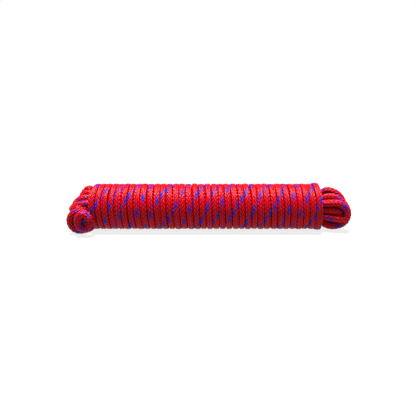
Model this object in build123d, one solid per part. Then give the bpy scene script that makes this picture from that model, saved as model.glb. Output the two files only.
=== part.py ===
"""Hank of braided dock line: one 10 mm rope folded into a skein and wrapped along its middle.

Frame: +X along the hank, from the short bights at the left end to the long bights at the
right end; +Z up; -Y is the front. The origin is on the flat underside, at mid length.
Millimetres. The rope is one piece: each node below is a named stretch of it, and the
two sealed tips are where the real rope begins and ends.
"""
from build123d import *
import math
import os

ROPE_D = 10.0                # rope diameter
ROPE_R = ROPE_D / 2
TURNS = 37                   # wrapping turns; an odd count puts one at mid length
TURN_PITCH = 9.95            # tight turns bed into each other a little
RUN_PITCH = 10.2             # spacing of the lengthwise runs, packed in a hexagon
BORE_CLEARANCE = 0.2         # between the outermost runs and the wrapping
RESTING_FLAT = 1.2           # how far the turns flatten where they rest
END_BULGE = 2.5              # the first turn, at the right end, stands proud of the others
ARC_SHARE = 0.45             # share of a straight run that the arc at its end uses up
ARC_CORNERS = 4              # corners of the route around one bight
BIGHT_LEAD = 3.0             # a bight leaves the wrapping straight for this far
TIP_LENGTH = 4.0             # melted and hardened end of the rope
TIP_R = 4.6

HALF_LENGTH = TURNS * TURN_PITCH / 2
BORE_R = 2 * RUN_PITCH + ROPE_R + BORE_CLEARANCE
TURN_R = BORE_R + ROPE_R     # radius of the wrapping's centreline
CREST_R = TURN_R + ROPE_R
AXIS_Z = CREST_R - RESTING_FLAT

# Lengthwise runs: columns A (front) to E (back), numbered from the top, as (y, z) about
# the axis in units of the run pitch. The top and bottom of column C stay empty.
COLUMN_STEP = math.sqrt(3) / 2
COLUMNS = {
    "A": (-2, (1, 0, -1)),
    "B": (-1, (1.5, 0.5, -0.5, -1.5)),
    "C": (0, (1, 0, -1)),
    "D": (1, (1.5, 0.5, -0.5, -1.5)),
    "E": (2, (1, 0, -1)),
}
# The order in which the rope passes along the runs, from its first tip.
RUN_ORDER = ("C2", "C1", "B2", "B3", "D2", "D3", "C3", "A2", "D1",
             "D4", "E3", "E1", "A3", "A1", "B1", "B4", "E2")

# Bights: (first run, second run) to the centre and radius of the bend, in rope
# diameters: how far out from the wrapping's end, y and z about the axis. At the right
# they hang in upright planes; at the left they lie in planes that slope up to the back.
RIGHT_BENDS = {
    ("C2", "C1"): ((1.34, -0.01, 0.50), 0.63),
    ("B2", "B3"): ((1.18, -1.00, 0.04), 0.63),
    ("D2", "D3"): ((1.22, 0.96, 0.00), 0.70),
    ("C3", "A2"): ((1.61, -1.12, -0.62), 1.14),
    ("D1", "D4"): ((1.86, 0.78, 0.00), 2.03),
    ("E3", "E1"): ((2.20, 2.15, 0.05), 1.40),
    ("A3", "A1"): ((2.40, -2.45, -0.02), 1.50),
    ("B1", "B4"): ((2.13, -0.91, -0.13), 2.12),
}
LEFT_BENDS = {
    ("C1", "B2"): ((1.20, -0.52, 0.90), 0.66),
    ("B3", "D2"): ((0.85, 0.00, 0.00), 1.03),
    ("D3", "C3"): ((1.20, 0.52, -0.90), 0.66),
    ("A2", "D1"): ((1.25, -0.56, 0.96), 1.72),
    ("D4", "E3"): ((1.25, 1.55, -1.57), 0.72),
    ("E1", "A3"): ((0.95, 0.00, 0.00), 2.05),
    ("A1", "B1"): ((1.25, -1.55, 1.57), 0.72),
    ("B4", "E2"): ((1.25, 0.56, -0.96), 1.72),
}
# From the last run, at the back, round onto the wrapping.
CROSSOVER_BEND = ((1.20, 2.65, 0.00), 0.75)
# After the last turn the tail leaves the wrapping low at the front and curls twice,
# the second time smaller and in front of the first.
TAIL_ROUTE = ((0.00, -1.30, -2.77), (0.60, -1.30, -2.77), (1.35, -2.15, -2.86),
              (2.15, -2.95, -2.90), (2.85, -3.10, -2.20), (3.00, -3.12, -1.10),
              (2.60, -3.12, -0.10), (1.70, -3.15, 0.25), (0.95, -3.40, -0.20),
              (0.65, -3.80, -1.15), (0.95, -4.15, -2.05), (1.75, -4.20, -2.30),
              (2.40, -4.20, -1.65), (2.30, -4.20, -0.80), (1.65, -4.28, -0.35))
FIRST_TIP_OUT = 0.3          # how far the first tip stands out of the wrapping, in diameters


def run_place(name):
    """Where a lengthwise run lies, as (y, z) about the axis."""
    column, heights = COLUMNS[name[0]]
    return column * COLUMN_STEP * RUN_PITCH, heights[int(name[1]) - 1] * RUN_PITCH


def at_end(side, out, y, z):
    """A point beyond one end of the wrapping: side is +1 at the right, -1 at the left."""
    return Vector(side * (HALF_LENGTH + out), y, AXIS_Z + z)


def in_diameters(side, places):
    return [at_end(side, *(ROPE_D * value for value in place)) for place in places]


def bend_corners(start, finish, centre, radius):
    """The corners of a route that leaves start, goes round the bend and comes back to finish."""
    normal = (start - centre).cross(finish - centre)
    plane = Plane(origin=centre, x_dir=centre - (start + finish) / 2, z_dir=normal)

    def leg_angle(point):
        """Where on the bend a straight leg from the point meets it, measured from its tip."""
        place = plane.to_local_coords(point)
        angle = math.atan2(place.Y, place.X)
        return angle - math.copysign(math.acos(radius / place.length), angle)

    first = leg_angle(start)
    step = (leg_angle(finish) - first) / ARC_CORNERS
    reach = radius / math.cos(step / 2)
    angles = [first + (i + 0.5) * step for i in range(ARC_CORNERS)]
    return [plane.from_local_coords((reach * math.cos(angle), reach * math.sin(angle), 0))
            for angle in angles]


def arc_radii(points):
    """The largest arc at each corner that its two straight runs allow."""
    radii = []
    for before, corner, after in zip(points, points[1:], points[2:]):
        run_in, run_out = corner - before, after - corner
        turn = math.radians(run_in.get_angle(run_out))
        shorter = min(run_in.length, run_out.length)
        radii.append(ARC_SHARE * shorter / math.tan(turn / 2))
    return radii


def tube(name, points):
    """A plain round tube along straight runs joined by tangent arcs."""
    radii = arc_radii(points)
    path = FilletPolyline(*points, radius=radii)
    section = Plane(origin=path @ 0, z_dir=path % 0) * Circle(ROPE_R)
    solid = sweep(section, path=path)
    ideal = math.pi * ROPE_R ** 2 * path.length
    print(f"{name}: length {path.length:.1f}, volume / ideal {solid.volume / ideal:.4f}, radii",
          " ".join(f"{radius:.1f}" for radius in radii))
    return solid


def leg_start(side, name):
    return at_end(side, 0, *run_place(name))


def bight(name, side, start, finish, bend):
    """One bight between two places on the wrapping's end."""
    centre, radius = bend
    lead = Vector(side * BIGHT_LEAD, 0, 0)
    corners = bend_corners(start + lead, finish + lead, in_diameters(side, [centre])[0],
                           radius * ROPE_D)
    return tube(name, [start, start + lead, *corners, finish + lead, finish])


def lengthwise_run(name):
    y, z = run_place(name)
    return Pos(0, y, AXIS_Z + z) * Rot(0, 90, 0) * Cylinder(ROPE_R, 2 * HALF_LENGTH)


def wrapping():
    """The wrapping turns: one sleeve whose outside is scalloped, a scallop to a turn."""
    edges = []
    for i in range(TURNS - 1):
        left = i * TURN_PITCH - HALF_LENGTH
        edges.append(ThreePointArc((left, TURN_R), (left + TURN_PITCH / 2, CREST_R),
                                   (left + TURN_PITCH, TURN_R)))
    left, proud = HALF_LENGTH - TURN_PITCH, TURN_R + END_BULGE
    edges.append(Line((left, TURN_R), (left, proud)))
    edges.append(ThreePointArc((left, proud), (left + TURN_PITCH / 2, CREST_R + END_BULGE),
                               (HALF_LENGTH, proud)))
    edges.append(Polyline((HALF_LENGTH, proud), (HALF_LENGTH, BORE_R),
                          (-HALF_LENGTH, BORE_R), (-HALF_LENGTH, TURN_R)))
    sleeve = revolve(make_face(edges), Axis.X)
    block = 4 * CREST_R
    ground = Pos(0, 0, -block / 2) * Box(4 * HALF_LENGTH, block, block)
    return Pos(0, 0, AXIS_Z) * sleeve - ground


def sealed_tip(place, direction):
    """A melted rope end: a short button with a rounded rim, on the end face of the rope."""
    button = extrude(Circle(TIP_R), TIP_LENGTH)
    rim = button.edges().sort_by(Axis.Z)[-1]
    return Plane(origin=place, z_dir=direction) * fillet(rim, TIP_LENGTH * 0.45)


def make_parts():
    parts = {"wrapping_turns": wrapping()}
    for i, name in enumerate(RUN_ORDER):
        parts[f"skein_run_{i + 1:02d}"] = lengthwise_run(name)

    pairs = list(zip(RUN_ORDER, RUN_ORDER[1:]))
    for side, word, bends in ((1, "right", RIGHT_BENDS), (-1, "left", LEFT_BENDS)):
        for i, pair in enumerate(pairs[0::2] if side == 1 else pairs[1::2]):
            node = f"{word}_bight_{i + 1}"
            parts[node] = bight(node, side, leg_start(side, pair[0]),
                                leg_start(side, pair[1]), bends[pair])
    parts["crossover_bight"] = bight("crossover_bight", 1, leg_start(1, RUN_ORDER[-1]),
                                     at_end(1, 0, TURN_R, 0), CROSSOVER_BEND)

    route = in_diameters(-1, TAIL_ROUTE)
    parts["tail"] = tube("tail", route)
    parts["tail_sealed_tip"] = sealed_tip(route[-1], route[-1] - route[-2])

    stub = FIRST_TIP_OUT * ROPE_D
    y, z = run_place(RUN_ORDER[0])
    parts["first_end"] = Pos(*at_end(-1, stub / 2, y, z)) * Rot(0, 90, 0) * Cylinder(ROPE_R, stub)
    parts["first_sealed_tip"] = sealed_tip(at_end(-1, stub, y, z), Vector(-1, 0, 0))
    return parts


def main():
    os.makedirs("parts", exist_ok=True)
    for name, part in make_parts().items():
        part.label = name
        export_step(part, f"parts/{name}.step")


main()
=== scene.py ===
"""Looks for the hank of braided dock line.

The rope is one cord: its line is a single NURBS spline that runs through the lengthwise
skein, round the bights at both ends, through every wrapping turn and out along the tail.
The braided cover is modelled on that line, stitch by stitch, wherever it can be seen.
Metres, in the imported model's frame: +X along the hank, +Z up, -Y the front.
"""
import math

import bpy
import numpy as np
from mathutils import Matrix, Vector


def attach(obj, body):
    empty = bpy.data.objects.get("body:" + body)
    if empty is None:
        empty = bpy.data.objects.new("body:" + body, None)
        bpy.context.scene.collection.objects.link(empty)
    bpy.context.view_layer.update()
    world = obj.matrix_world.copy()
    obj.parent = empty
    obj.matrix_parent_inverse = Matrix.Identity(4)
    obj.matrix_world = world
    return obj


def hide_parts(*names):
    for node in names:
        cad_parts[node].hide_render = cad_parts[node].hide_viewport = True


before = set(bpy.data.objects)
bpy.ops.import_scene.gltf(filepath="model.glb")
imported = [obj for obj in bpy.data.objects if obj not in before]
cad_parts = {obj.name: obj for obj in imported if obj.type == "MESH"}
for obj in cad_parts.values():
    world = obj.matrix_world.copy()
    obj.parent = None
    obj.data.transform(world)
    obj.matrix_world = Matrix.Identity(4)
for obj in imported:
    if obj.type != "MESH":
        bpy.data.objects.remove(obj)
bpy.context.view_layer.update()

# ---------------------------------------------------------------- sizes of the hank
ROPE_D = 0.010
ROPE_R = ROPE_D / 2
TURNS = 37
TURN_PITCH = 0.00995
RUN_PITCH = 0.0102
BORE_CLEARANCE = 0.0002
RESTING_FLAT = 0.0012
END_BULGE = 0.0016               # the first turn, at the right end, stands proud of the others
ARC_CORNERS = 4                  # corners of the route around one tight fold
BIGHT_LEAD = 0.003
LOOP_LEADS = (0.009, 0.020)      # an open loop bends away from its run between these depths
TIP_LENGTH = 0.004
TIP_R = 0.0046
CORE_R = 0.36 * ROPE_D           # the plain rope under the braided cover

HALF_LENGTH = TURNS * TURN_PITCH / 2
TURN_R = 2 * RUN_PITCH + ROPE_R + BORE_CLEARANCE + ROPE_R
AXIS_Z = TURN_R + ROPE_R - RESTING_FLAT

# ---------------------------------------------------------------- route of the rope
COLUMN_STEP = math.sqrt(3) / 2
COLUMNS = {
    "A": (-2, (1, 0, -1)),
    "B": (-1, (1.5, 0.5, -0.5, -1.5)),
    "C": (0, (1, 0, -1)),
    "D": (1, (1.5, 0.5, -0.5, -1.5)),
    "E": (2, (1, 0, -1)),
}
RUN_ORDER = ("C2", "C1", "B2", "B3", "D2", "D3", "C3", "A2", "D1",
             "D4", "E3", "E1", "A3", "A1", "B1", "B4", "E2")
# Tight folds: centre (out from the wrapping's end, y, z about the axis) and radius, in diameters.
RIGHT_FOLDS = {
    ("C2", "C1"): ((1.34, -0.01, 0.50), 0.63),
    ("B2", "B3"): ((1.18, -1.00, 0.04), 0.63),
    ("D2", "D3"): ((1.22, 0.96, 0.00), 0.70),
    ("C3", "A2"): ((1.61, -1.12, -0.62), 1.14),
}
LEFT_FOLDS = {
    ("C1", "B2"): ((1.20, -0.52, 0.90), 0.66),
    ("B3", "D2"): ((0.85, 0.00, 0.00), 1.03),
    ("D3", "C3"): ((1.20, 0.52, -0.90), 0.66),
    ("D4", "E3"): ((1.25, 1.55, -1.57), 0.72),
}
# Open loops, point by point, as (out, y, z) in diameters. Those at the right sag. Known fault:
# several of those at the left cut through each other and through the left folds, by up to 8 mm.
RIGHT_LOOPS = {
    ("D1", "D4"): ((0.20, 0.90, 2.15), (0.80, 0.80, 2.48), (1.60, 0.65, 2.32),
                   (2.55, 0.40, 1.85), (3.30, 0.10, 0.85), (3.35, -0.15, -0.60),
                   (3.00, -0.25, -1.75), (1.90, 0.05, -2.45), (0.80, 0.50, -2.35)),
    ("E3", "E1"): ((0.90, 1.95, -1.45), (2.00, 2.00, -1.60), (2.95, 1.60, -0.90),
                   (3.20, 1.40, 0.20), (2.75, 1.50, 1.20), (1.80, 1.60, 1.95),
                   (0.70, 1.75, 1.95)),
    ("A3", "A1"): ((1.00, -2.10, -1.15), (2.10, -2.40, -1.30), (3.00, -2.50, -1.35),
                   (3.52, -2.45, -0.75), (3.38, -2.40, 0.30), (2.60, -2.30, 1.05),
                   (1.50, -2.10, 1.25), (0.60, -1.90, 1.10)),
    ("B1", "B4"): ((0.70, -1.00, 1.95), (1.80, -1.20, 1.80), (2.85, -1.40, 1.10),
                   (3.60, -1.50, 0.10), (3.80, -1.60, -1.00), (3.40, -1.65, -2.05),
                   (2.50, -1.55, -2.65), (1.30, -1.30, -2.88), (0.30, -1.10, -2.60)),
}
LEFT_LOOPS = {
    ("A2", "D1"): ((0.60, -1.95, 0.25), (1.60, -2.30, 0.45), (2.45, -2.05, 0.20),
                   (2.75, -1.20, 0.00), (2.50, -0.20, 0.15), (1.95, 0.50, 0.80),
                   (1.25, 0.75, 1.60), (0.55, 0.80, 2.05)),
    ("E1", "A3"): ((0.10, 1.55, 2.30), (0.60, 1.45, 2.58), (1.25, 1.30, 1.90),
                   (1.85, 1.15, 0.90), (2.30, 0.60, -0.30), (2.20, -0.60, -1.15),
                   (1.50, -1.50, -1.60), (0.60, -1.85, -1.45)),
    ("A1", "B1"): ((0.70, -1.78, 1.00), (1.45, -1.85, 0.80), (2.02, -1.85, 0.58),
                   (2.20, -1.35, 0.65), (2.05, -0.90, 1.00), (1.45, -0.78, 1.40),
                   (0.70, -0.80, 1.62)),
    ("B4", "E2"): ((0.50, -1.15, -2.10), (1.40, -1.25, -2.30), (2.20, -0.70, -2.20),
                   (2.50, 0.40, -1.60), (2.20, 1.30, -0.80), (1.50, 1.80, -0.25),
                   (0.70, 1.85, 0.00)),
}
CROSSOVER_BEND = ((1.20, 2.65, 0.00), 0.75)
# From the crossover bend down into the first turn, at the right end.
ONTO_TURNS = ((0.45, 3.20, -0.02), (-0.25, 3.24, -0.40))
# The tail leaves the last turn low at the front and curls twice, the second time in front.
TAIL_ROUTE = ((-0.25, -1.10, -3.00), (-0.10, -2.05, -2.95), (0.55, -2.75, -2.93),
              (1.40, -3.20, -2.92), (2.20, -3.30, -2.55), (2.66, -3.30, -1.80),
              (2.68, -3.30, -0.90), (2.20, -3.30, -0.10), (1.35, -3.38, 0.28),
              (0.30, -3.62, 0.12), (-0.52, -3.98, -0.50), (-0.58, -4.12, -1.40),
              (-0.16, -4.25, -2.10), (0.53, -4.32, -2.25), (1.16, -4.35, -1.75),
              (1.31, -4.36, -0.90), (1.00, -4.36, -0.10), (0.35, -4.35, 0.16),
              (-0.26, -4.36, -0.15), (-0.46, -4.42, -0.60))
FIRST_TIP_OUT = 0.3          # how far the first tip stands out of the wrapping, in diameters

POINTS_PER_TURN = 16
TURN_START = 22.5            # degrees past the back where the turns' own points begin
TURN_END = 90.0              # degrees past the back, underneath, where the tail takes over
LEAN_FROM = 22               # from this turn on, the turns lean more and more
END_LEAN = 0.0090            # the last turn's top is drawn this far to the right
LEAN_AT = 200.0              # degrees past the back: high at the front, where the lean begins
LEAN_POWER = 1.5             # how late the lean grows: 1 is evenly from turn to turn
TURNS_SPREAD = 35.75         # pitches from the first turn to the last one's high front
FULLNESS = 0.0008            # the turns stand this much farther out than a tight tube would
FIRST_SNUG = 0.0016          # the first turn is pulled against the second
LOWEST_LINE = 0.0037         # where the turns rest, the rope's line comes no lower than this
BULGE_FADE = (3.2, 3.0)      # shares of the bulge: at the start, and lost with each turn
# The turns lie a little unevenly, in waves: (size in metres, radians of the wave for each
# turn, radians of the wave for each radian round the hank).
UNEVEN_OUT = ((0.00018, 2.3, 0.0), (0.00012, 1.0, 1.37))
UNEVEN_ALONG = ((0.00018, 0.0, 0.317), (0.00035, 0.9, 1.0))

# ---------------------------------------------------------------- the braid
CARRIER_PITCH = 4.43 * ROPE_D    # one carrier goes once round the rope in this length
CARRIERS = 8                     # carriers that go round each way
WALES = 8                        # columns of stitches round the rope, alternately / and \
FACES_PER_WALE = 6
RINGS_PER_STITCH = 6
AROUND = WALES * FACES_PER_WALE
RING_STEP = CARRIER_PITCH / CARRIERS / RINGS_PER_STITCH
COVER_R = 0.355 * ROPE_D         # radius at the bottom of the grooves
WEAVE_HEIGHT = 0.056 * ROPE_D    # a carrier rises and dips this far as it goes over and under
YARN_CROWN = 0.105 * ROPE_D      # roundness of one stitch across its width
TRACERS = (0, 1)                 # the two neighbouring carriers that are blue
SQUARENESS = 2.2                 # how square the squeezed turns are; 0 is round
SQUARE_FROM = 0.9                # the rope begins to be square at this share of a turn's radius
SQUARE_BLEND = 0.08              # and is fully square when it lies this much farther out
SQUARE_MARGIN = 0.3 * ROPE_D     # no turn is square nearer to the wrapping's end than this
LOOSE_SWELL = 0.14               # the rope is this much thicker where no turn squeezes it
SWELL_INSIDE = 0.3               # it begins to swell this far inside the wrapping, in diameters
SWELL_BLEND = 0.6                # and is fully thick after this length, in diameters
# Waves of twist: (size in radians, metres of rope for each radian of the wave, phase).
TWIST_WAVES = ((0.9, 0.43, 0.0), (0.5, 0.171, 1.0))
BEND_LIMIT = 0.93                # the cover goes at most this share of the way to a bend's centre
LEAST_BEND = 1e-3                # a curvature below this, per metre, counts as this
SMOOTHED_OVER = 5                # stations over which a bend is averaged
SAME_PLACE = 1e-7                # points of the line nearer to each other than this are one
COVER_DEPTH = 0.8 * ROPE_D       # how far the cover goes on inside the wrapping's ends
WRAPPING_PIECES = 4              # the wrapping's cover is cut into this many pieces


def new_object(name, data):
    """A new object that holds the data, linked into the scene."""
    item = bpy.data.objects.new(name, data)
    bpy.context.scene.collection.objects.link(item)
    return item


def run_place(name):
    """Where a lengthwise run lies, as (y, z) about the axis."""
    column, heights = COLUMNS[name[0]]
    return column * COLUMN_STEP * RUN_PITCH, heights[int(name[1]) - 1] * RUN_PITCH


def at_end(side, out, y, z):
    """A point beyond one end of the wrapping: side is +1 at the right, -1 at the left."""
    return Vector((side * (HALF_LENGTH + out), y, AXIS_Z + z))


def in_diameters(side, places):
    return [at_end(side, *(ROPE_D * value for value in place)) for place in places]


def bend_corners(start, finish, centre, radius):
    """The corners of a route that leaves start, goes round the bend and comes back to finish."""
    normal = (start - centre).cross(finish - centre).normalized()
    across = (centre - (start + finish) / 2)
    across = (across - across.project(normal)).normalized()
    up = normal.cross(across)

    def leg_angle(point):
        """Where on the bend a straight leg from the point meets it, measured from its tip."""
        offset = point - centre
        angle = math.atan2(offset.dot(up), offset.dot(across))
        return angle - math.copysign(math.acos(radius / offset.length), angle)

    first = leg_angle(start)
    step = (leg_angle(finish) - first) / ARC_CORNERS
    reach = radius / math.cos(step / 2)
    angles = [first + (i + 0.5) * step for i in range(ARC_CORNERS)]
    return [centre + reach * (math.cos(a) * across + math.sin(a) * up) for a in angles]


def fold_points(side, start, finish, bend):
    """Points of one tight fold, from the wrapping's end and back to it."""
    centre, radius = bend
    lead = Vector((side * BIGHT_LEAD, 0, 0))
    corners = bend_corners(start + lead, finish + lead, in_diameters(side, [centre])[0],
                           radius * ROPE_D)
    return [start, start + lead, *corners, finish + lead, finish]


def skein_points():
    """Points from the first tip, along all the runs and bights, to the end of the last run."""
    points = [at_end(-1, FIRST_TIP_OUT * ROPE_D, *run_place(RUN_ORDER[0]))]
    for i, pair in enumerate(zip(RUN_ORDER, RUN_ORDER[1:])):
        side, folds, loops = ((1, RIGHT_FOLDS, RIGHT_LOOPS) if i % 2 == 0
                              else (-1, LEFT_FOLDS, LEFT_LOOPS))
        start, finish = (at_end(side, 0, *run_place(name)) for name in pair)
        if pair in folds:
            points += fold_points(side, start, finish, folds[pair])
        else:
            leads = [Vector((-side * lead, 0, 0)) for lead in LOOP_LEADS]
            points += [start + leads[1], start + leads[0], *in_diameters(side, loops[pair]),
                       finish + leads[0], finish + leads[1]]
    return points


def crossover_points():
    """Points from the last run, round the bend at the back, and down onto the turns."""
    start = at_end(1, 0, *run_place(RUN_ORDER[-1]))
    finish = at_end(1, 0, TURN_R, 0)
    points = fold_points(1, start, finish, CROSSOVER_BEND)[:-2]
    return points + in_diameters(1, ONTO_TURNS)


def unevenness(waves, turn, angle):
    """How far the rope wanders from an even turn, as a sum of slow waves."""
    return sum(size * math.sin(by_turn * turn + by_angle * angle)
               for size, by_turn, by_angle in waves)


def turn_points():
    """Points of the wrapping turns: down the back, under, up the front and over the top."""
    step = 360 / POINTS_PER_TURN
    last = (TURNS - 1) * 360 + TURN_END
    count = round((last - TURN_START) / step)
    # The spline cuts its corners: it lies at 3/4 of a point and 1/8 of each of its neighbours.
    outward = 1 / (0.75 + 0.25 * math.cos(math.radians(step)))
    pitch = (2 * HALF_LENGTH - ROPE_D) / TURNS_SPREAD
    points = []
    for i in range(count + 1):
        degrees = TURN_START + i * step
        turn = degrees / 360
        angle = math.radians(degrees)
        proud = END_BULGE * max(0.0, min(1.0, BULGE_FADE[0] - BULGE_FADE[1] * turn))
        uneven = unevenness(UNEVEN_OUT, turn, angle)
        radius = (TURN_R + FULLNESS + proud + uneven) * outward
        drift = unevenness(UNEVEN_ALONG, turn, angle)
        lean = END_LEAN * max(0.0, (turn - LEAN_FROM) / (TURNS - LEAN_FROM)) ** LEAN_POWER
        lean *= max(0.0, math.sin(angle - math.radians(LEAN_AT))) ** 2
        snug = FIRST_SNUG * max(0.0, 1 - turn)
        x = HALF_LENGTH - ROPE_R - pitch * turn + drift + lean - snug
        z = max(LOWEST_LINE, AXIS_Z - radius * math.sin(angle))
        points.append(Vector((x, radius * math.cos(angle), z)))
    return points


def make_rope():
    """The rope's own line: one open NURBS spline through every point of the route."""
    skein = skein_points()
    crossover = crossover_points()
    points = skein + crossover + turn_points() + in_diameters(-1, TAIL_ROUTE)
    data = bpy.data.curves.new("rope", "CURVE")
    data.dimensions = "3D"
    data.resolution_u = 6
    spline = data.splines.new("NURBS")
    spline.points.add(len(points) - 1)
    for place, point in zip(points, spline.points):
        point.co = (*place, 1)
    spline.order_u = 3
    spline.use_endpoint_u = True
    return new_object("rope_core", data), points


def line_of(rope):
    """The spline's points, as the curve gives them before it has any thickness."""
    mesh = bpy.data.meshes.new_from_object(rope)
    places = np.empty(len(mesh.vertices) * 3)
    mesh.vertices.foreach_get("co", places)
    bpy.data.meshes.remove(mesh)
    return places.reshape(-1, 3)


class Line:
    """Evenly spaced stations along the rope's line, with a frame that doesn't twist."""

    def __init__(self, places, step):
        gaps = np.linalg.norm(np.diff(places, axis=0), axis=1)
        keep = np.r_[True, gaps > SAME_PLACE]
        places = places[keep]
        along = np.r_[0, np.cumsum(np.linalg.norm(np.diff(places, axis=0), axis=1))]
        self.length = along[-1]
        self.s = np.arange(0, self.length, step)
        self.place = np.stack([np.interp(self.s, along, places[:, i]) for i in range(3)], axis=1)
        ahead = np.gradient(self.place, step, axis=0)
        self.ahead = ahead / np.linalg.norm(ahead, axis=1)[:, None]
        bend = np.gradient(self.ahead, step, axis=0)
        window = np.ones(SMOOTHED_OVER) / SMOOTHED_OVER
        self.bend = np.stack([np.convolve(bend[:, i], window, "same") for i in range(3)], axis=1)
        self.side = self.untwisted_sides()
        self.up = np.cross(self.ahead, self.side)

    def untwisted_sides(self):
        """A direction across the rope at each station, carried along without any twist."""
        sides = np.empty_like(self.place)
        side = np.cross(self.ahead[0], (0, 0, 1.0))
        sides[0] = side / np.linalg.norm(side)
        for i in range(1, len(sides)):
            side = sides[i - 1] - self.ahead[i] * (sides[i - 1] @ self.ahead[i])
            sides[i] = side / math.sqrt(side @ side)
        return sides


def braid(along, around):
    """The braid at a place on the rope: heights of the yarns that go round forward (/) and
    backward (\\), and the number of the forward one."""
    turned = along / CARRIER_PITCH * CARRIERS
    forward = around / math.tau * CARRIERS - turned
    backward = around / math.tau * CARRIERS + turned
    forward_number = np.floor(forward + 0.5)
    across_forward = forward - forward_number
    across_backward = backward - np.floor(backward + 0.5)
    wave = WEAVE_HEIGHT * np.cos(math.tau * (forward + backward - 0.5) / 4)

    def crown(across):
        return YARN_CROWN * (1 - (2 * across) ** 2)

    return wave + crown(across_forward), crown(across_backward) - wave, forward_number


def cover_height(along, around):
    """Height of whichever yarn is on top."""
    forward, backward, _ = braid(along, around)
    return np.maximum(forward, backward)


def slow_twist(along):
    """The rope is not quite evenly twisted as it is wound."""
    return sum(size * np.sin(along / length + phase) for size, length, phase in TWIST_WAVES)


def squeezed(place, out):
    """Turns press against each other: on the wrapping the rope is a little square."""
    from_axis = place * (0, 1, 1) - (0, 0, AXIS_Z)
    distance = np.linalg.norm(from_axis, axis=1)
    on_turn = np.clip((distance / TURN_R - SQUARE_FROM) / SQUARE_BLEND, 0, 1)
    on_turn = on_turn * (np.abs(place[:, 0]) < HALF_LENGTH - SQUARE_MARGIN)
    radial = from_axis / distance[:, None]
    up = np.abs(np.einsum("ijk,ik->ij", out, radial))
    sideways = np.sqrt(np.clip(1 - up ** 2, 0, 1))
    power = 2 + SQUARENESS * on_turn[:, None]
    return (up ** power + sideways ** power) ** (-1 / power)


def swollen(place):
    """The rope springs back to its full thickness beyond the ends of the wrapping."""
    beyond = (np.abs(place[:, 0]) - HALF_LENGTH) / ROPE_D + SWELL_INSIDE
    return 1 + LOOSE_SWELL * np.clip(beyond / SWELL_BLEND, 0, 1)[:, None]


def make_cover(name, line, first, last, material):
    """The braided cover over stations first to last."""
    rings = np.arange(first, last + 1)
    along = line.s[rings][:, None]
    wale_edge = -0.5 / (2 * CARRIERS) * math.tau
    around = (wale_edge + np.arange(AROUND) * math.tau / AROUND)[None, :]
    angle = around + slow_twist(along)
    out = (np.cos(angle)[..., None] * line.side[rings][:, None, :]
           + np.sin(angle)[..., None] * line.up[rings][:, None, :])
    radius = (COVER_R + cover_height(along, around)) * squeezed(line.place[rings], out)
    radius = radius * swollen(line.place[rings])
    towards_bend = np.einsum("ijk,ik->ij", out, line.bend[rings])
    radius = np.minimum(radius, BEND_LIMIT / np.maximum(towards_bend, LEAST_BEND))
    places = line.place[rings][:, None, :] + radius[..., None] * out
    places[..., 2] = np.maximum(places[..., 2], 0)
    return grid_mesh(name, places, along, around, material)


def grid_mesh(name, places, along, around, material):
    """A tube of quads from rings of places, with the braid's pattern stored on its faces."""
    ring_count, sides = places.shape[:2]
    ring = np.arange(ring_count - 1)[:, None]
    column = np.arange(sides)[None, :]
    following = (column + 1) % sides
    quads = np.stack([ring * sides + column, ring * sides + following,
                      (ring + 1) * sides + following, (ring + 1) * sides + column], axis=-1)
    quads = quads.reshape(-1, 4)

    mesh = bpy.data.meshes.new(name)
    mesh.vertices.add(ring_count * sides)
    mesh.vertices.foreach_set("co", places.reshape(-1))
    mesh.loops.add(quads.size)
    mesh.loops.foreach_set("vertex_index", quads.reshape(-1).astype(np.int32))
    mesh.polygons.add(len(quads))
    mesh.polygons.foreach_set("loop_start", np.arange(0, quads.size, 4, dtype=np.int32))
    mesh.polygons.foreach_set("use_smooth", np.ones(len(quads), dtype=bool))
    mesh.update(calc_edges=True)

    step_around = math.tau / sides
    s_face = along[:-1] + RING_STEP / 2
    phi_face = around + step_around / 2
    forward, backward, number = braid(s_face, phi_face)
    on_top = forward > backward
    tracer = on_top & np.isin(np.mod(number, CARRIERS), TRACERS)
    mesh.attributes.new("tracer", "FLOAT", "FACE").data.foreach_set(
        "value", tracer.astype(np.float32).reshape(-1))

    height = cover_height(along, around) / (WEAVE_HEIGHT + YARN_CROWN)
    mesh.attributes.new("raised", "FLOAT", "POINT").data.foreach_set(
        "value", np.clip(height, 0, 1).astype(np.float32).reshape(-1))

    # Where each face corner is across and along the yarn that shows there.
    lean = np.where(on_top, 1.0, -1.0)
    yarn = np.empty((ring_count - 1, sides, 4, 2), dtype=np.float32)
    for corner, (ds, dphi) in enumerate(((0, 0), (0, 1), (1, 1), (1, 0))):
        s = along[:-1] + ds * RING_STEP
        phi = around + dphi * step_around
        turned = s / CARRIER_PITCH * CARRIERS
        yarn[:, :, corner, 0] = phi / math.tau * CARRIERS - lean * turned
        yarn[:, :, corner, 1] = turned + lean * phi / math.tau * CARRIERS
    layer = mesh.uv_layers.new(name="yarn")
    layer.data.foreach_set("uv", yarn.reshape(-1))

    mesh.materials.append(material)
    return new_object(name, mesh)


# A melted end from the rope outwards: (share of its length, share of its radius).
TIP_PROFILE = ((0.0, 0.97), (0.25, 1.0), (0.5, 0.99), (0.72, 0.9), (0.88, 0.72), (0.97, 0.42),
               (1.0, 0.12))
TIP_SIDES = 32


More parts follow.
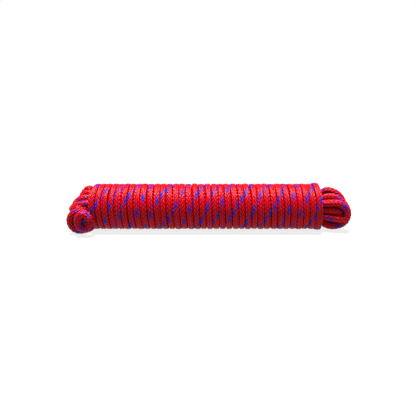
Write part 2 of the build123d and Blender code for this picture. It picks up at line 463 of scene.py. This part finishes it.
def make_tip(name, place, ahead, material):
    """A melted and hardened end: a low dome with a few lumps."""
    ahead = Vector(ahead).normalized()
    side = ahead.orthogonal().normalized()
    up = ahead.cross(side)
    sides = TIP_SIDES
    vertices, faces = [], []
    for out, wide in TIP_PROFILE:
        for i in range(sides):
            angle = math.tau * i / sides
            lumps = 1 + 0.03 * math.sin(3 * angle + 5 * out) + 0.02 * math.sin(7 * angle + out)
            radius = TIP_R * wide * lumps
            reach = TIP_LENGTH * (out + 0.05 * math.sin(2 * angle) * out)
            vertices.append(Vector(place) + ahead * min(reach, TIP_LENGTH)
                            + side * radius * math.cos(angle) + up * radius * math.sin(angle))
    for row in range(len(TIP_PROFILE) - 1):
        for i in range(sides):
            j = (i + 1) % sides
            faces.append((row * sides + i, row * sides + j,
                          (row + 1) * sides + j, (row + 1) * sides + i))
    faces.append(tuple(reversed(range(sides))))
    faces.append(tuple(range(len(vertices) - sides, len(vertices))))
    mesh = bpy.data.meshes.new(name)
    mesh.from_pydata(vertices, [], faces)
    mesh.polygons.foreach_set("use_smooth", [True] * len(mesh.polygons))
    mesh.materials.append(material)
    return new_object(name, mesh)


# ---------------------------------------------------------------- materials
# Colours as ramps: (place on the ramp, colour). The yarns run from shade to highlight.
RED_YARN = ((0.30, (0.36, 0.001, 0.006)), (0.52, (0.58, 0.002, 0.012)),
            (0.75, (0.84, 0.012, 0.042)))
BLUE_YARN = ((0.30, (0.012, 0.010, 0.20)), (0.52, (0.018, 0.022, 0.48)),
             (0.75, (0.06, 0.085, 0.85)))
GROOVE_SHADE = ((0.35, (0.12, 0.06, 0.08)), (0.66, (0.50, 0.40, 0.44)), (0.94, (1.0, 1.0, 1.0)))
WEAR_SHADE = ((0.35, (0.86, 0.84, 0.86)), (0.65, (1.0, 1.0, 1.0)))
# The rope's inside: red, with painted shade, darker towards the hollows of the weave.
INSIDE_RED_AND_HOLLOW_SHADE = ((0.0, (0.48, 0.008, 0.028)), (0.7, (0.16, 0.002, 0.008)))
SEALED_RED = ((0.35, (0.14, 0.002, 0.005)), (0.6, (0.30, 0.004, 0.012)),
              (0.8, (0.42, 0.010, 0.020)))
FLOOR_GREY = ((0.3, (0.05, 0.05, 0.05)), (0.7, (0.06, 0.06, 0.06)))
NYLON_IOR = 1.53
FLOOR_GLOW = 0.82


class Nodes:
    """A material's node tree, with short calls for adding and joining nodes."""

    def __init__(self, name):
        self.material = bpy.data.materials.new(name)
        self.material.use_nodes = True
        self.tree = self.material.node_tree
        self.shader = self.tree.nodes["Principled BSDF"]

    def add(self, kind, inputs=(), **settings):
        """A new node, with its sockets set or linked, and its own settings."""
        node = self.tree.nodes.new("ShaderNode" + kind)
        for key, value in settings.items():
            setattr(node, key, value)
        for socket, value in dict(inputs).items():
            self.feed(node.inputs[socket], value)
        return node

    def feed(self, socket, value):
        """Links another node's socket into this one, or sets a plain value on it."""
        if isinstance(value, bpy.types.NodeSocket):
            self.tree.links.new(value, socket)
        else:
            socket.default_value = value

    def ramp(self, value, stops):
        node = self.add("ValToRGB", {"Fac": value})
        elements = node.color_ramp.elements
        while len(elements) < len(stops):
            elements.new(0.5)
        for element, (position, colour) in zip(elements, stops):
            element.position = position
            element.color = (*colour, 1)
        return node.outputs["Color"]

    def mix(self, factor, a, b, blend="MIX"):
        node = self.add("MixRGB", {"Fac": factor, "Color1": a, "Color2": b}, blend_type=blend)
        return node.outputs["Color"]


def braided_material():
    """Braided nylon: red yarns with a pair of blue ones, fine filaments along each yarn."""
    nodes = Nodes("braided_nylon")
    shader = nodes.shader
    tracer = nodes.add("Attribute", attribute_name="tracer").outputs["Fac"]
    raised = nodes.add("Attribute", attribute_name="raised").outputs["Fac"]
    yarn = nodes.add("UVMap", uv_map="yarn").outputs["UV"]
    place = nodes.add("TexCoord").outputs["Object"]

    stretched = nodes.add("Mapping", {"Vector": yarn, "Scale": (16, 0.9, 1)}).outputs["Vector"]
    filaments = nodes.add("TexNoise", {"Vector": stretched, "Scale": 1.0, "Detail": 3.0,
                                       "Roughness": 0.55}).outputs["Fac"]
    patches = nodes.add("TexNoise", {"Vector": place, "Scale": 45.0, "Detail": 3.0}).outputs["Fac"]

    red = nodes.ramp(filaments, RED_YARN)
    blue = nodes.ramp(filaments, BLUE_YARN)
    colour = nodes.mix(tracer, red, blue)
    colour = nodes.mix(1.0, colour, nodes.ramp(raised, GROOVE_SHADE), "MULTIPLY")
    colour = nodes.mix(1.0, colour, nodes.ramp(patches, WEAR_SHADE), "MULTIPLY")
    nodes.feed(shader.inputs["Base Color"], colour)

    roughness = nodes.add("MapRange", {"Value": filaments, "From Min": 0.3, "From Max": 0.7,
                                       "To Min": 0.24, "To Max": 0.38}).outputs["Result"]
    nodes.feed(shader.inputs["Roughness"], roughness)
    bump = nodes.add("Bump", {"Height": filaments, "Strength": 0.55, "Distance": 0.0004})
    nodes.feed(shader.inputs["Normal"], bump.outputs["Normal"])
    shader.inputs["IOR"].default_value = NYLON_IOR
    shader.inputs["Specular IOR Level"].default_value = 0.06
    return nodes.material


def core_material():
    """The rope where the turns hide it: red, with a woven bump, and painted shade that darkens the
    bump's hollows.
    """
    nodes = Nodes("rope_inside")
    shader = nodes.shader
    place = nodes.add("TexCoord").outputs["Object"]
    weave = nodes.add("TexVoronoi", {"Vector": place, "Scale": 260.0}).outputs["Distance"]
    # Painted shade: the red is darker where the woven bump is low.
    nodes.feed(shader.inputs["Base Color"], nodes.ramp(weave, INSIDE_RED_AND_HOLLOW_SHADE))
    bump = nodes.add("Bump", {"Height": weave, "Strength": 0.6, "Distance": 0.0006}, invert=True)
    nodes.feed(shader.inputs["Normal"], bump.outputs["Normal"])
    shader.inputs["Roughness"].default_value = 0.6
    return nodes.material


def sealed_material():
    """Melted nylon: darker than the yarns, smooth and lumpy."""
    nodes = Nodes("sealed_nylon")
    shader = nodes.shader
    place = nodes.add("TexCoord").outputs["Object"]
    lumps = nodes.add("TexNoise", {"Vector": place, "Scale": 420.0, "Detail": 4.0}).outputs["Fac"]
    nodes.feed(shader.inputs["Base Color"], nodes.ramp(lumps, SEALED_RED))
    roughness = nodes.add("MapRange", {"Value": lumps, "To Min": 0.35, "To Max": 0.6})
    nodes.feed(shader.inputs["Roughness"], roughness.outputs["Result"])
    bump = nodes.add("Bump", {"Height": lumps, "Strength": 0.5, "Distance": 0.0008})
    nodes.feed(shader.inputs["Normal"], bump.outputs["Normal"])
    shader.inputs["Specular IOR Level"].default_value = 0.2
    return nodes.material


def floor_material():
    """A white light table: it glows, so that shadows on it stay faint."""
    nodes = Nodes("floor")
    place = nodes.add("TexCoord").outputs["Object"]
    grain = nodes.add("TexNoise", {"Vector": place, "Scale": 60.0, "Detail": 3.0}).outputs["Fac"]
    nodes.feed(nodes.shader.inputs["Base Color"], nodes.ramp(grain, FLOOR_GREY))
    nodes.shader.inputs["Roughness"].default_value = 0.9
    nodes.shader.inputs["Emission Color"].default_value = (1, 1, 1, 1)
    nodes.shader.inputs["Emission Strength"].default_value = FLOOR_GLOW
    return nodes.material


# ---------------------------------------------------------------- camera and light
CAMERA_DISTANCE = 0.80
CAMERA_ELEVATION = 18.0          # degrees
LENS = 44.0
TARGET = Vector((0.002, -0.012, AXIS_Z + 0.0011))
SUN_STRENGTH = 13.5
SUN_ANGLE = 20.0                 # degrees across, for soft shadows
SUN_DIRECTION = Vector((0.03, -0.07, -1))
WHITE_UP_TO = 0.14               # the surround is white from the horizon up to this height
WHITE = (1.0, 1.0, 1.0, 1)
DIM_FROM = 0.35                  # and dim from this height up, as shares of straight up
DIM = (0.22, 0.22, 0.22, 1)
FLOOR_HALF = 4.0
FLOOR_DROP = 0.0003              # the floor lies this far under the rope


def make_camera():
    data = bpy.data.cameras.new("camera")
    data.lens = LENS
    camera = new_object("camera", data)
    tilt = math.radians(CAMERA_ELEVATION)
    back = Vector((0, -math.cos(tilt), math.sin(tilt)))
    camera.location = TARGET + back * CAMERA_DISTANCE
    camera.rotation_mode = "QUATERNION"
    camera.rotation_quaternion = (-back).to_track_quat("-Z", "Y")
    data.clip_start, data.clip_end = 0.01, 20
    bpy.context.scene.camera = camera


def make_studio():
    """Soft light from almost straight above, in a surround that is white near the horizon."""
    bpy.context.scene.view_settings.view_transform = "Standard"
    data = bpy.data.lights.new("overhead", "SUN")
    data.energy = SUN_STRENGTH
    data.angle = math.radians(SUN_ANGLE)
    sun = new_object("overhead", data)
    sun.rotation_mode = "QUATERNION"
    sun.rotation_quaternion = SUN_DIRECTION.to_track_quat("-Z", "Y")

    world = bpy.data.worlds.new("studio")
    bpy.context.scene.world = world
    world.use_nodes = True
    tree = world.node_tree
    direction = tree.nodes.new("ShaderNodeTexCoord").outputs["Generated"]
    split = tree.nodes.new("ShaderNodeSeparateXYZ")
    ramp = tree.nodes.new("ShaderNodeValToRGB")
    low, high = ramp.color_ramp.elements
    low.position, low.color = WHITE_UP_TO, WHITE
    high.position, high.color = DIM_FROM, DIM
    tree.links.new(direction, split.inputs[0])
    tree.links.new(split.outputs["Z"], ramp.inputs["Fac"])
    tree.links.new(ramp.outputs["Color"], tree.nodes["Background"].inputs["Color"])

    mesh = bpy.data.meshes.new("floor")
    corners = ((-1, -1), (1, -1), (1, 1), (-1, 1))
    mesh.from_pydata([(FLOOR_HALF * x, FLOOR_HALF * y, 0) for x, y in corners],
                     [], [(0, 1, 2, 3)])
    mesh.materials.append(floor_material())
    floor = new_object("floor", mesh)
    floor.location.z = -FLOOR_DROP


# ---------------------------------------------------------------- stretches of the rope
def stretches(line):
    """First and last stations of each stretch beyond the wrapping's ends, in the rope's order,
    and the stations where the wrapping begins, where the tail begins and where the rope ends."""
    x, y, z = line.place.T
    from_axis = np.hypot(y, z - AXIS_Z)
    inside = (from_axis < TURN_R - ROPE_R) & (np.abs(x) < HALF_LENGTH - COVER_DEPTH)
    last_inside = np.nonzero(inside)[0][-1]
    outside = ~inside[:last_inside + 1]
    edges = np.nonzero(np.diff(np.r_[False, outside, False].astype(int)))[0]
    ends = list(zip(edges[0::2], edges[1::2] - 1))
    past_turns = np.nonzero(x[last_inside:] < -HALF_LENGTH)[0]
    return ends, last_inside, last_inside + past_turns[0], len(x) - 1


def finish_piece(piece, slot, *nodes):
    """Puts a piece on the hank's one body, in place of its CAD nodes. The slot is not used."""
    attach(piece, "root")
    if nodes:
        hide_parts(*nodes)
    return piece


def main():
    make_camera()
    rope, points = make_rope()
    line = Line(line_of(rope), RING_STEP)
    print("rope length", round(line.length, 3), "points", len(points))

    nylon, sealed = braided_material(), sealed_material()
    rope.data.bevel_depth = CORE_R
    rope.data.bevel_resolution = 1
    rope.data.use_fill_caps = True
    rope.data.materials.append(core_material())
    finish_piece(rope, "braided_rope", *(f"skein_run_{i + 1:02d}" for i in range(len(RUN_ORDER))))

    ends, last_inside, last_turn, last = stretches(line)
    assert len(ends) == len(RUN_ORDER)     # the first end, and a bight between each two runs
    for i, (first, final) in enumerate(ends):
        if i == 0:
            name = "first_end"
        elif i % 2:
            name = f"right_bight_{(i + 1) // 2}"
        else:
            name = f"left_bight_{i // 2}"
        cover = make_cover(name + "_cover", line, first, final, nylon)
        finish_piece(cover, "braided_rope", name)

    cuts = np.linspace(last_inside, last_turn, WRAPPING_PIECES + 1).astype(int)
    for i in range(WRAPPING_PIECES):
        cover = make_cover(f"wrapping_cover_{i + 1}", line, cuts[i], cuts[i + 1], nylon)
        stands_for = ("wrapping_turns", "crossover_bight") if i == 0 else ("wrapping_turns",)
        finish_piece(cover, "braided_rope", *stands_for)
    cover = make_cover("tail_cover", line, last_turn, last, nylon)
    finish_piece(cover, "braided_rope", "tail")

    tip = make_tip("first_tip", line.place[0], -line.ahead[0], sealed)
    finish_piece(tip, "sealed_end", "first_sealed_tip")
    tip = make_tip("tail_tip", line.place[-1], line.ahead[-1], sealed)
    finish_piece(tip, "sealed_end", "tail_sealed_tip")

    make_studio()


main()
